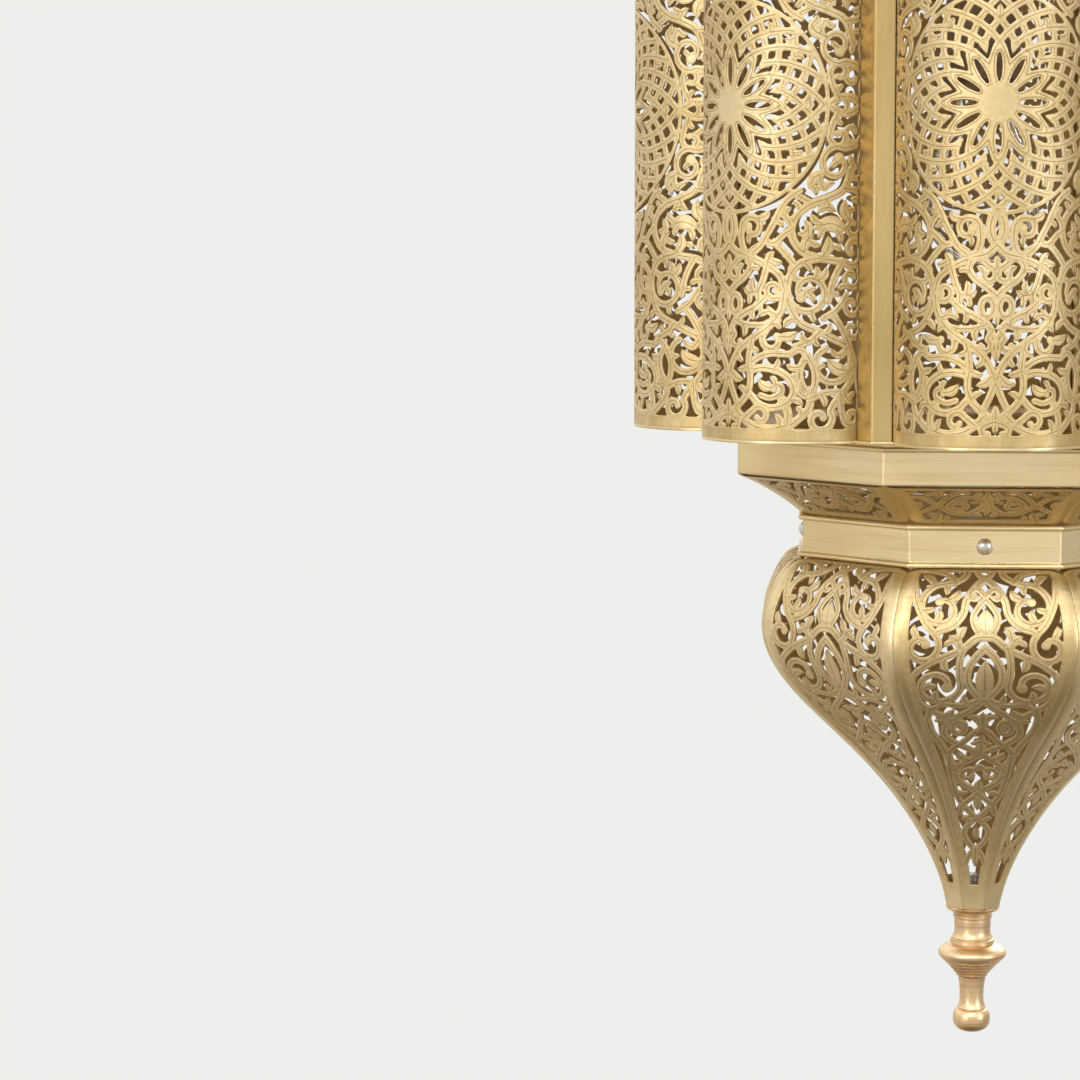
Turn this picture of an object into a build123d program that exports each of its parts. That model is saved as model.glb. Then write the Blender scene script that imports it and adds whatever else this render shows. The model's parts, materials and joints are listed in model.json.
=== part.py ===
from build123d import *
import math
import os

# Octagonal pierced-brass hanging lantern: eight half-round lobe panels between corner bars, with an octagonal
# flange, a sloping ring, a collar and a bulbous eight-gore shell at each end, a turned finial at the bottom and
# an eye with a loose ring at the top.
#
# Millimetres, +Z up. The origin is the hang point, where a hook bears on the inside of the hanging ring. The front
# facet faces -Y. Heights below are measured from the middle of the lobed body and shifted to the origin on export.
# The pierced sheets are plain sheets of the right outline here. Octagon sizes are radii to the corners.

SIDES = 8
STEP_DEG = 360 / SIDES
HALF_TAN = math.tan(math.radians(STEP_DEG / 2))
HALF_COS = math.cos(math.radians(STEP_DEG / 2))
HALF_SIN = math.sin(math.radians(STEP_DEG / 2))
FRONT_DEG = -90  # direction that facet 1 faces

# Lobed body
BODY_HALF = 163.5  # middle of the body to the outer face of either end plate
PLATE = 1.5
LOBE_CENTRE = 132.2  # lantern's axis to the lobe's own axis
LOBE_R = 47.4
LOBE_LEG = 3.0  # straight edge of the lobe sheet behind its half round
SHEET = 1.0
BAR_R = 149.6  # ridge of the corner bars
BAR_SHEET = 1.2
BAR_LIP = 9.0  # depth of the bar's in-turned lips
SOLDER_GAP = 0.1
PLATE_R = 150.2
PLATE_HOLE_R = 104.0

# Flange, slope ring and collar, the same at both ends
FLANGE_R = 134.2
FLANGE_WALL = 1.2
FLANGE_TOP_R = 131.5  # recessed spacer against the end plate
FLANGE_INNER_R = 119.0
FLANGE_SPACER = 2.5
FLANGE_BEAD = 2.0
FLANGE_BEAD_PROUD = 1.4
FLANGE_END = 184.8
SLOPE_END = 206.5
SLOPE_END_R = 98.4
SLOPE_HOLLOW = 1.6  # how far the slope's middle sinks below a straight line
COLLAR_R = 98.0
COLLAR_WALL = 1.2
COLLAR_START = 206.7
COLLAR_END = 228.2
BEAD_R = 1.25
BEAD_PROUD = 1.1  # centre of the rolled bead outside the collar wall

# Gored shells: half sections as (height, corner radius)
SHELL_START = 228.4
CAGE_OUTLINE = [
    (228.4, 97.6), (231.8, 106.2), (245.0, 115.6), (262.0, 120.7), (277.3, 117.6), (297.0, 104.4),
    (323.4, 77.0), (352.2, 49.0), (380.8, 28.8), (404.7, 17.9), (416.5, 14.9),
]
DOME_OUTLINE = [
    (228.4, 97.6), (231.6, 104.4), (242.0, 110.6), (255.0, 113.0), (268.0, 109.2), (284.0, 96.0),
    (303.0, 71.5), (320.0, 47.0), (335.0, 29.4), (350.0, 19.0),
]
CAGE_END = CAGE_OUTLINE[-1][0]
DOME_END = DOME_OUTLINE[-1][0]
NECK_OUTER_R = 96.4
NECK_WALL = 1.5
NECK_START = 209.5
NECK_END = 229.6

# Collar screws, M4 with a dome head, on every second facet
COLLAR_SCREW_Z = 217.4
SCREW_R = 2.0
SCREW_HEAD_R = 4.2
SCREW_HEAD_H = 2.6
SCREW_LENGTH = 9.0
SCREW_HOLE_R = 2.2
M4_NUT_R = 4.04  # 7 mm across the flats
M4_NUT_H = 3.2
THREAD_GAP = 0.05  # radial gap that keeps a screw's solid clear of its nut

# Finial and its fixing
SEAT_RING_H = 3.0
SEAT_RING_R = 14.3
FINIAL_TOP = CAGE_END + SEAT_RING_H
FINIAL_END = 484.0
STUD_R = 3.0
STUD_IN_FINIAL = 22.0
HUB_R = 11.9
HUB_H = 7.0
M6_NUT_R = 5.77
M6_NUT_H = 5.0
M6_WASHER_R = 6.2
WASHER_H = 1.6

# Stem tube, knob, eye and hanging ring
TUBE_R = 5.0
TUBE_BORE_R = 3.5
CAP_RING_H = 4.0
CAP_RING_R = 21.0
KNOB_H = 30.0
EYE_WIRE_R = 3.5
EYE_R = 12.5
EYE_BOSS_R = 7.5
EYE_BOSS_H = 10.5
EYE_SOCKET = 6.0
CABLE_HOLE_R = 3.2
RING_WIRE_R = 4.0
RING_R = 24.0
RING_GAP = 0.3  # between the eye and the ring, so that they can swing
M10_NUT_R = 9.24
M10_NUT_H = 6.0
M10_WASHER_R = 10.5

# Cross bar over the upper end plate
BAR_LENGTH = 216.0
BAR_WIDTH = 20.0
BAR_THICK = 3.0
BAR_SCREW_X = 102.0
BAR_SCREW_LENGTH = 12.0

# Lampholder for an E27 lamp, and the lamp
HOLDER_TOP = 66.0
HOLDER_CAP_H = 20.0
HOLDER_R = 19.5
HOLDER_WALL = 1.6
HOLDER_BODY_H = 40.0
HOLDER_RING_R = 24.0
HOLDER_RING_H = 6.0
SOCKET_R = 13.6
LAMP_CAP_R = 13.2
LAMP_CAP_H = 25.0
LAMP_NECK_R = 13.0
LAMP_R = 30.0
LAMP_WALL = 0.8

KNOB_BOTTOM = DOME_END + CAP_RING_H
EYE_BOTTOM = KNOB_BOTTOM + KNOB_H
EYE_CENTRE = EYE_BOTTOM + EYE_BOSS_H + EYE_R - EYE_WIRE_R - 1.0
EYE_PIVOT = EYE_CENTRE + EYE_R
RING_CENTRE = EYE_PIVOT - EYE_WIRE_R - RING_GAP - RING_WIRE_R + RING_R
HANG_POINT = RING_CENTRE + RING_R - RING_WIRE_R

parts = {}


def keep(name, shape):
    """Stores a finished piece in the lantern's own frame, with its origin at the hang point."""
    parts[name] = Pos(0, 0, -HANG_POINT) * shape


def apothem(corner_radius):
    return corner_radius * HALF_COS


def facing(shape, facet):
    """Turns a piece built for a facet that faces +X to the facet numbered from 0, the front one."""
    return Rot(0, 0, FRONT_DEG + STEP_DEG * facet) * shape


def upside_down(shape):
    """Turns a piece made for the lower end over, for the upper end."""
    return mirror(shape, about=Plane.XY)


def prism(corner_radius, low, high):
    """Octagonal prism with a facet facing +X, between two heights."""
    outline = RegularPolygon(corner_radius, SIDES, rotation=STEP_DEG / 2)
    return Pos(0, 0, low) * extrude(outline, high - low)


def rod(radius, low, high):
    return Pos(0, 0, low) * extrude(Circle(radius), high - low)


def hexagon(corner_radius, low, high):
    return Pos(0, 0, low) * extrude(RegularPolygon(corner_radius, 6), high - low)


def polygon_face(points):
    """Face in the XZ plane, from (x, z) points."""
    return Plane.XZ * make_face(Polyline(*points, close=True))


def turned(points):
    """Solid of revolution from its half section, (radius, height) points joined by straight lines."""
    return revolve(polygon_face(points), Axis.Z)


def sheet_face(outline, thickness):
    """Closed section between a curve through (height, corner radius) points and its offset towards the axis."""
    outer = Spline(*[(apothem(radius), height) for height, radius in outline])
    inner_points = []
    for k in range(2 * len(outline) + 1):
        place = k / (2 * len(outline))
        along = outer % place
        inner_points.append(outer @ place + Vector(-along.Y, along.X) * thickness)
    inner = Spline(*inner_points)
    ends = [Line(outer @ 0, inner @ 0), Line(outer @ 1, inner @ 1)]
    return Plane.XZ * make_face([outer, inner, *ends])


def sector(section, gap=0.0):
    """One eighth of an octagonal ring: a section in the XZ plane, run along its facet and mitred at both ends."""
    reach = 2 * BAR_R
    apex = gap / (2 * HALF_SIN)
    side = (reach - apex) * HALF_TAN
    wedge = make_face(Polyline((apex, 0), (reach, -side), (reach, side), close=True))
    tall = 2 * FINIAL_END
    return extrude(section, BAR_R, both=True) & Pos(0, 0, -tall / 2) * extrude(wedge, tall)


def octagon_ring(section):
    """Whole octagonal ring from its section in the XZ plane."""
    piece = sector(section)
    return Part() + [Rot(0, 0, STEP_DEG * k) * piece for k in range(SIDES)]


def lobe_panel():
    """Half-round sheet with straight edges, standing between the two end plates."""
    ring = Circle(LOBE_R) - Circle(LOBE_R - SHEET)
    half = Pos(LOBE_CENTRE, 0) * (ring - Pos(-LOBE_R, 0) * Rectangle(2 * LOBE_R, 3 * LOBE_R))
    outline = half
    for side in (-1, 1):
        middle = (LOBE_CENTRE - LOBE_LEG / 2, side * (LOBE_R - SHEET / 2))
        outline += Pos(*middle) * Rectangle(LOBE_LEG, SHEET)
    height = 2 * (BODY_HALF - PLATE)
    return Pos(0, 0, -height / 2) * extrude(outline, height)


def corner_bar():
    """Folded bar at the corner after a facet that faces +X: two legs on the facets and two in-turned lips."""
    face = apothem(BAR_R)
    edge = LOBE_R + SOLDER_GAP
    inside = face - BAR_SHEET
    near = [
        (face - BAR_LIP, edge), (face, edge), (face, face * HALF_TAN),
        (inside, inside * HALF_TAN), (inside, edge + BAR_SHEET), (face - BAR_LIP, edge + BAR_SHEET),
    ]
    half = make_face(Polyline(*near, close=True))
    turn = Rot(0, 0, STEP_DEG / 2)
    straight = turn.inverse() * half
    height = 2 * (BODY_HALF - PLATE)
    bar = extrude(straight + mirror(straight, about=Plane.XZ), height)
    return Pos(0, 0, -height / 2) * turn * bar


def end_plate():
    """Lower end plate: an octagon with a half round at each facet and a wide octagonal hole."""
    outline = RegularPolygon(PLATE_R, SIDES, rotation=STEP_DEG / 2)
    for facet in range(SIDES):
        outline += Rot(0, 0, STEP_DEG * facet) * Pos(LOBE_CENTRE, 0) * Circle(LOBE_R)
    outline -= RegularPolygon(PLATE_HOLE_R, SIDES, rotation=STEP_DEG / 2)
    return Pos(0, 0, -BODY_HALF) * extrude(outline, PLATE)


def flange():
    """Lower octagonal flange: a spacer against the end plate, a narrow bead and a plain upright wall."""
    wall = apothem(FLANGE_R)
    top = -BODY_HALF
    bead_top = top - FLANGE_SPACER
    bead_bottom = bead_top - FLANGE_BEAD
    bead = wall + FLANGE_BEAD_PROUD
    section = polygon_face([
        (apothem(FLANGE_INNER_R), top), (apothem(FLANGE_TOP_R), top), (apothem(FLANGE_TOP_R), bead_top),
        (bead - 0.4, bead_top), (bead, bead_top - 0.5), (bead, bead_bottom + 0.5), (wall, bead_bottom),
        (wall, -FLANGE_END + 0.6), (wall - 0.4, -FLANGE_END), (wall - FLANGE_WALL, -FLANGE_END),
        (wall - FLANGE_WALL, bead_top - FLANGE_WALL), (apothem(FLANGE_INNER_R), bead_top - FLANGE_WALL),
    ])
    return octagon_ring(section)


def slope_ring():
    """Lower sloping ring: a slightly hollow sheet from the flange's edge in to the collar."""
    start = Vector(apothem(FLANGE_R) - 0.4, -FLANGE_END - SHEET)
    end = Vector(apothem(SLOPE_END_R), -SLOPE_END)
    run = end - start
    inward = Vector(run.Y, -run.X).normalized()
    middle = (start + end) * 0.5 + inward * SLOPE_HOLLOW
    outer = Spline(start, middle, end)
    lift = inward * SHEET
    inner = Spline(start + lift, middle + lift, end + lift)
    edges = [outer, inner, Line(start, start + lift), Line(end, end + lift)]
    return octagon_ring(Plane.XZ * make_face(edges))


def collar():
    """Lower collar: an upright octagonal wall with a rolled bead along each edge."""
    wall = apothem(COLLAR_R)
    section = polygon_face([
        (wall - COLLAR_WALL, -COLLAR_START), (wall + BEAD_PROUD, -COLLAR_START),
        (wall + BEAD_PROUD, -COLLAR_START - 2 * BEAD_R), (wall, -COLLAR_START - 2 * BEAD_R),
        (wall, -COLLAR_END + 2 * BEAD_R), (wall + BEAD_PROUD, -COLLAR_END + 2 * BEAD_R),
        (wall + BEAD_PROUD, -COLLAR_END), (wall - COLLAR_WALL, -COLLAR_END),
    ])
    for height in (-COLLAR_START - BEAD_R, -COLLAR_END + BEAD_R):
        section += Plane.XZ * Pos(wall + BEAD_PROUD, height) * Circle(BEAD_R)
    return octagon_ring(section)


def neck_ring():
    """Lower neck ring, which stands inside the collar and carries the gored shell."""
    outer = prism(NECK_OUTER_R, -NECK_END, -NECK_START)
    return outer - prism(NECK_OUTER_R - NECK_WALL / HALF_COS, -NECK_END, -NECK_START)


def gore(outline):
    """Lower gore: a sheet curved down its length and straight across, mitred where it meets its neighbours."""
    points = [(-height, radius) for height, radius in outline]
    return sector(sheet_face(points, -SHEET), SOLDER_GAP)


def screw_places():
    """Frames at the collar screws: z points out of the facet, at the collar wall's outer face."""
    frames = []
    for facet in range(0, SIDES, 2):
        out = Pos(apothem(COLLAR_R), 0, -COLLAR_SCREW_Z) * Rot(0, 90, 0)
        frames.append(Rot(0, 0, FRONT_DEG + STEP_DEG * facet) * out)
    return frames


def dome_screw(length):
    """M4 screw with a low dome head and a cross recess, its head's seat at z = 0."""
    ball = (SCREW_HEAD_R**2 + SCREW_HEAD_H**2) / (2 * SCREW_HEAD_H)
    head = Pos(0, 0, SCREW_HEAD_H - ball) * Sphere(ball) & rod(SCREW_HEAD_R, 0, SCREW_HEAD_H)
    for turn in (0, 90):
        head -= Pos(0, 0, SCREW_HEAD_H) * Rot(0, 0, turn) * Box(3.2, 0.7, 2.0)
    return head + rod(SCREW_R, -length, 0)


def m4_nut(top):
    """M4 nut whose upper face is at the given height on the screw's axis."""
    return hexagon(M4_NUT_R, top - M4_NUT_H, top) - rod(SCREW_R + THREAD_GAP, top - M4_NUT_H, top)


def build_body():
    for facet in range(SIDES):
        keep(f"lobe_panel_{facet + 1}", facing(lobe_panel(), facet))
    keep("corner_bars", Compound([facing(corner_bar(), facet) for facet in range(SIDES)]))
    keep("body_bottom_plate", facing(end_plate(), 0))


def build_cross_bar():
    """Cross bar over the upper end plate's hole, with a screw and a nut at each end."""
    top_plate = facing(upside_down(end_plate()), 0)
    bar = Pos(0, 0, BODY_HALF + BAR_THICK / 2) * Box(BAR_LENGTH, BAR_WIDTH, BAR_THICK)
    bar = fillet(bar.edges().filter_by(Axis.Z), 3)
    bar -= rod(TUBE_R + THREAD_GAP, BODY_HALF, BODY_HALF + BAR_THICK)
    screws = []
    nuts = []
    for x in (-BAR_SCREW_X, BAR_SCREW_X):
        hole = Pos(x, 0, 0) * rod(SCREW_HOLE_R, BODY_HALF - PLATE, BODY_HALF + BAR_THICK)
        bar -= hole
        top_plate -= hole
        screws.append(Pos(x, 0, BODY_HALF + BAR_THICK) * dome_screw(BAR_SCREW_LENGTH))
        nuts.append(Pos(x, 0, 0) * m4_nut(BODY_HALF - PLATE))
    keep("body_top_plate", top_plate)
    keep("cross_bar", bar)
    keep("cross_bar_screws", Compound(screws))
    keep("cross_bar_nuts", Compound(nuts))


def build_ends():
    """Flange, slope ring, collar, neck ring and gored shell, below and above the body."""
    screw_holes = [frame * rod(SCREW_HOLE_R, -SCREW_LENGTH, 1) for frame in screw_places()]
    keep("lower_flange", facing(flange(), 0))
    keep("lower_slope_ring", facing(slope_ring(), 0))
    keep("lower_collar", facing(collar(), 0) - screw_holes)
    keep("cage_neck_ring", facing(neck_ring(), 0) - screw_holes)
    keep("upper_flange", facing(upside_down(flange()), 0))
    keep("upper_slope_ring", facing(upside_down(slope_ring()), 0))
    keep("upper_collar", facing(upside_down(collar()), 0))
    keep("dome_neck_ring", facing(upside_down(neck_ring()), 0))
    cage_gore = gore(CAGE_OUTLINE)
    dome_gore = upside_down(gore(DOME_OUTLINE))
    for facet in range(SIDES):
        keep(f"cage_panel_{facet + 1}", facing(cage_gore, facet))
        keep(f"dome_panel_{facet + 1}", facing(dome_gore, facet))
    keep("collar_screws", Compound([frame * dome_screw(SCREW_LENGTH) for frame in screw_places()]))
    neck_inside = apothem(COLLAR_R) - apothem(NECK_OUTER_R) + NECK_WALL
    keep("collar_nuts", Compound([frame * m4_nut(-neck_inside) for frame in screw_places()]))


def build_finial():
    """Hub in the cage's foot, seat ring, turned finial and the stud that joins them."""
    hub_top = -CAGE_END + HUB_H
    hub_hole = rod(STUD_R + THREAD_GAP, -FINIAL_TOP, hub_top)
    keep("cage_hub", rod(HUB_R, -CAGE_END, hub_top) - hub_hole)
    seat = turned([
        (0, 0), (SEAT_RING_R - 0.5, 0), (SEAT_RING_R, -0.6), (SEAT_RING_R - 0.5, -1.5), (11.2, -SEAT_RING_H),
        (0, -SEAT_RING_H),
    ])
    keep("cage_seat_ring", Pos(0, 0, -CAGE_END) * seat - hub_hole)
    washer_top = hub_top + WASHER_H
    washer = rod(M6_WASHER_R, hub_top, washer_top) - rod(STUD_R + 0.2, hub_top, washer_top)
    keep("hub_washer", washer)
    nut_top = washer_top + M6_NUT_H
    nut = hexagon(M6_NUT_R, washer_top, nut_top) - rod(STUD_R + THREAD_GAP, washer_top, nut_top)
    keep("hub_nut", nut)
    stud_low = -FINIAL_TOP - STUD_IN_FINIAL
    keep("finial_stud", rod(STUD_R, stud_low, nut_top + 3))
    body = finial_solid() - rod(STUD_R + THREAD_GAP, stud_low, -FINIAL_TOP)
    keep("finial", body)


def finial_solid():
    """Turned finial: ringed neck, grooved bulge, slim stem and a flattened ball."""
    ball_depth = FINIAL_END - FINIAL_TOP
    ring_top = 26.0
    ring_h = 1.85
    ring_radii = [15.0, 13.1, 11.4, 9.9, 8.6]
    neck_rings = [(0, 0), (10.4, 0), (10.4, 0.6), (9.8, 1.0), (10.2, 1.5), (10.2, 3.0), (9.6, 3.5)]
    neck = [(9.6, 3.5), (9.5, 7.5), (9.6, 11.2), (10.8, 13.8)]
    shoulder = [(10.8, 13.8), (10.6, 14.3), (11.5, 14.8), (11.6, 16.6), (11.2, 17.1), (13.6, 17.7)]
    bulge = [(13.6, 17.7), (16.4, 19.6), (17.9, 21.9), (17.2, 24.1), (15.4, ring_top - 0.3)]
    rings = [bulge[-1]]
    for k, radius in enumerate(ring_radii):
        depth = ring_top + k * ring_h
        rings += [(radius - 0.5, depth), (radius, depth + 0.3), (radius - 1.3, depth + 1.6)]
    stem = [rings[-1], (6.6, 39.5), (6.3, 45.0), (6.6, 49.0), (7.6, 51.6)]
    stem_groove = [(7.6, 51.6), (7.2, 52.1), (8.2, 52.5)]
    ball = [(8.2, 52.5), (9.5, 54.8), (9.8, 57.3), (9.0, 60.9), (6.6, 63.3), (2.5, ball_depth - 0.1)]
    tip = [(2.5, ball_depth - 0.1), (0, ball_depth), (0, 0)]
    return turned_runs([neck_rings, shoulder, rings, stem_groove, tip], [neck, bulge, stem, ball])


def turned_runs(straight_runs, smooth_runs):
    """Solid of revolution from straight and smooth runs of (radius, depth below the finial's top) points."""
    edges = []
    for run in straight_runs:
        edges += Polyline(*[(radius, -FINIAL_TOP - depth) for radius, depth in run]).edges()
    for run in smooth_runs:
        edges.append(Spline(*[(radius, -FINIAL_TOP - depth) for radius, depth in run]))
    return revolve(Plane.XZ * make_face(edges), Axis.Z)


def build_top():
    """Cap ring and knob over the dome, the eye, the loose ring and the stem tube with its nuts."""
    cap = turned([
        (0, 0), (CAP_RING_R - 1, 0), (CAP_RING_R, 1), (CAP_RING_R, 2.4), (CAP_RING_R - 1.6, CAP_RING_H),
        (0, CAP_RING_H),
    ])
    tube_hole = rod(TUBE_R + THREAD_GAP, DOME_END, EYE_BOTTOM)
    keep("dome_cap_ring", Pos(0, 0, DOME_END) * cap - tube_hole)
    knob = turned([
        (0, 0), (13.5, 0), (13.5, 1.8), (11.4, 3.0), (10.4, 5.5), (10.4, 8.0), (12.0, 9.0), (12.0, 10.6),
        (15.4, 13.0), (17.4, 16.0), (17.8, 18.6), (17.0, 21.4), (14.6, 24.2), (12.2, 25.8), (12.2, 27.4),
        (10.6, 28.4), (10.6, KNOB_H), (0, KNOB_H),
    ])
    keep("top_knob", Pos(0, 0, KNOB_BOTTOM) * knob - tube_hole)
    boss_top = EYE_BOTTOM + EYE_BOSS_H
    loop = Pos(0, 0, EYE_CENTRE) * Rot(90, 0, 0) * Torus(EYE_R, EYE_WIRE_R)
    boss = rod(EYE_BOSS_R, EYE_BOTTOM, boss_top)
    foot = rod(EYE_BOSS_R + 1.8, EYE_BOTTOM, EYE_BOTTOM + 2.2)
    passage = rod(CABLE_HOLE_R, EYE_BOTTOM, boss_top + EYE_WIRE_R)
    socket = rod(TUBE_R + THREAD_GAP, EYE_BOTTOM, EYE_BOTTOM + EYE_SOCKET)
    keep("top_eye", loop + boss + foot - passage - socket)
    keep("hanging_ring", Pos(0, 0, RING_CENTRE) * Rot(0, 90, 0) * Torus(RING_R, RING_WIRE_R))
    tube_low = HOLDER_TOP - 8
    tube_high = EYE_BOTTOM + EYE_SOCKET
    keep("stem_tube", rod(TUBE_R, tube_low, tube_high) - rod(TUBE_BORE_R, tube_low, tube_high))
    bar_top = BODY_HALF + BAR_THICK
    nut_bottoms = [
        DOME_END - WASHER_H - M10_NUT_H,
        bar_top + WASHER_H,
        BODY_HALF - WASHER_H - M10_NUT_H,
        HOLDER_TOP,
    ]
    washer_bottoms = [DOME_END - WASHER_H, bar_top, BODY_HALF - WASHER_H]
    nuts = []
    for low in nut_bottoms:
        nuts.append(hexagon(M10_NUT_R, low, low + M10_NUT_H) - rod(TUBE_R + THREAD_GAP, low, low + M10_NUT_H))
    washers = []
    for low in washer_bottoms:
        washers.append(rod(M10_WASHER_R, low, low + WASHER_H) - rod(TUBE_R + 0.2, low, low + WASHER_H))
    keep("tube_nuts", Compound(nuts))
    keep("tube_washers", Compound(washers))


def build_lamp():
    """Two-part lampholder with its ring, and a round-bulb lamp cap down in it."""
    cap_low = HOLDER_TOP - HOLDER_CAP_H
    cap = turned([
        (0, HOLDER_TOP), (9.5, HOLDER_TOP), (15.0, HOLDER_TOP - 3.5), (18.4, HOLDER_TOP - 8.5),
        (HOLDER_R, HOLDER_TOP - 13.0), (HOLDER_R, cap_low), (HOLDER_R - HOLDER_WALL, cap_low),
        (HOLDER_R - HOLDER_WALL, HOLDER_TOP - 12.0), (14.0, HOLDER_TOP - 8.5), (0, HOLDER_TOP - 8.5),
    ])
    keep("holder_cap", cap - rod(TUBE_R + THREAD_GAP, HOLDER_TOP - 10, HOLDER_TOP))
    body_low = cap_low - HOLDER_BODY_H
    body = rod(HOLDER_R, body_low, cap_low) - rod(SOCKET_R, body_low, cap_low - 6)
    keep("holder_body", body)
    ring_low = body_low + 10
    ring = rod(HOLDER_RING_R, ring_low, ring_low + HOLDER_RING_H)
    keep("holder_ring", ring - rod(HOLDER_R + THREAD_GAP, ring_low, ring_low + HOLDER_RING_H))
    lamp_low = body_low + 3
    lamp_cap_high = lamp_low + LAMP_CAP_H
    keep("lamp_cap", turned([
        (0, lamp_low), (LAMP_CAP_R, lamp_low), (LAMP_CAP_R, lamp_cap_high - 4), (8.0, lamp_cap_high),
        (4.5, lamp_cap_high), (4.5, lamp_cap_high + 2), (0, lamp_cap_high + 2),
    ]))
    keep("lamp_glass", lamp_glass(lamp_low - SOLDER_GAP))


def lamp_glass(high):
    """Thin glass envelope: a neck that flares into a round bulb."""
    bulb_z = high - 58.0
    bottom = bulb_z - LAMP_R

    def outline(shrink):
        side = Spline(
            (LAMP_NECK_R - shrink, high), (LAMP_NECK_R + 3.6 - shrink, high - 16.0), (LAMP_R - shrink, bulb_z),
            tangents=[(0, -1), (0, -1)],
        )
        round_end = CenterArc((0, bulb_z), LAMP_R - shrink, 0, -90)
        return [side, round_end]

    outer = outline(0)
    inner = outline(LAMP_WALL)
    ends = [
        Line((LAMP_NECK_R, high), (LAMP_NECK_R - LAMP_WALL, high)),
        Line((0, bottom), (0, bottom + LAMP_WALL)),
    ]
    return revolve(Plane.XZ * make_face([*outer, *inner, *ends]), Axis.Z)


build_body()
build_cross_bar()
build_ends()
build_finial()
build_top()
build_lamp()

os.makedirs("parts", exist_ok=True)
for part_name, shape in parts.items():
    export_step(shape, f"parts/{part_name}.step")
print(len(parts), "nodes; hang point", HANG_POINT, "eye pivot", EYE_PIVOT - HANG_POINT)
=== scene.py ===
import json
import math
import bmesh
import bpy
import numpy as np
from mathutils import Matrix, Vector


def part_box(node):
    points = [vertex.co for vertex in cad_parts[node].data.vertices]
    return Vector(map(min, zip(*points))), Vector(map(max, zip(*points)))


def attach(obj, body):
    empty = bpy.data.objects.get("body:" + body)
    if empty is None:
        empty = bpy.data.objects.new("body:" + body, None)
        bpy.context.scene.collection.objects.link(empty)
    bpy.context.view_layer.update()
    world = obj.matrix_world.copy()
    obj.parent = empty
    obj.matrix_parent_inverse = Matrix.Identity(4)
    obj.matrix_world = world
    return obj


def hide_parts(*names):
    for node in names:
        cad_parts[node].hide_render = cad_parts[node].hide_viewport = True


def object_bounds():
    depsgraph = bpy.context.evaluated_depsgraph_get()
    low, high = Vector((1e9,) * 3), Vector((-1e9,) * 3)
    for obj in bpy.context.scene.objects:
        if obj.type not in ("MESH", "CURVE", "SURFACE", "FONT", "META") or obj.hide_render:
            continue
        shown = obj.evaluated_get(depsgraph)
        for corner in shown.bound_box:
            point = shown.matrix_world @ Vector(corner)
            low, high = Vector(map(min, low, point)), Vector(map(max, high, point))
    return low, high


# The hanging lantern's looks, around its CAD frame. Every pierced sheet is worked out here as a flat
# pattern in millimetres, turned into a mesh and bent to the shape of the CAD sheet it replaces. Scene
# units are metres.

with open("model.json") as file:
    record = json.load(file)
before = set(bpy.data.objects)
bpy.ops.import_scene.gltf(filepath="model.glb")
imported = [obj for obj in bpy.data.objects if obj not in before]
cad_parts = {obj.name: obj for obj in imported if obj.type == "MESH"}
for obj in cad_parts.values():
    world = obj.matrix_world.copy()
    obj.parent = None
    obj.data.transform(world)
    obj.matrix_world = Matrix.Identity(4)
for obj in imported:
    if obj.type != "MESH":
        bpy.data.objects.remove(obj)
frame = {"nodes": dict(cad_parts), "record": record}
cad_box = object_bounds()
MM = 0.001
SIDES = 8
STEP = 2 * math.pi / SIDES
FAR = 99.0  # a distance larger than any in a pattern
REACH = 9.0  # how far from a strip its distance is worked out


# ---------------------------------------------------------------- flat patterns: distance to the metal, in mm

def smooth_line(points, steps=6):
    """Catmull-Rom curve through a few points."""
    given = np.array(points, float)
    ends = [2 * given[0] - given[1]], [2 * given[-1] - given[-2]]
    p = np.vstack([ends[0], given, ends[1]])
    line = []
    for a, b, c, d in zip(p[:-3], p[1:-2], p[2:-1], p[3:]):
        for t in np.arange(steps) / steps:
            square = (2 * a - 5 * b + 4 * c - d) * t**2
            cube = (3 * b - a - 3 * c + d) * t**3
            line.append(0.5 * (2 * b + (c - a) * t + square + cube))
    line.append(given[-1])
    return np.array(line)


def spiral_points(start, centre, turn, end_radius, step=30):
    """Points from start around centre, turning by turn degrees while the radius goes to end_radius."""
    arm = np.array(start, float) - centre
    radius = math.hypot(*arm)
    angle = math.atan2(arm[1], arm[0])
    count = max(2, round(abs(turn) / step))
    points = []
    for k in range(1, count + 1):
        r = radius + (end_radius - radius) * k / count
        a = angle + math.radians(turn) * k / count
        points.append((centre[0] + r * math.cos(a), centre[1] + r * math.sin(a)))
    return points


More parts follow.
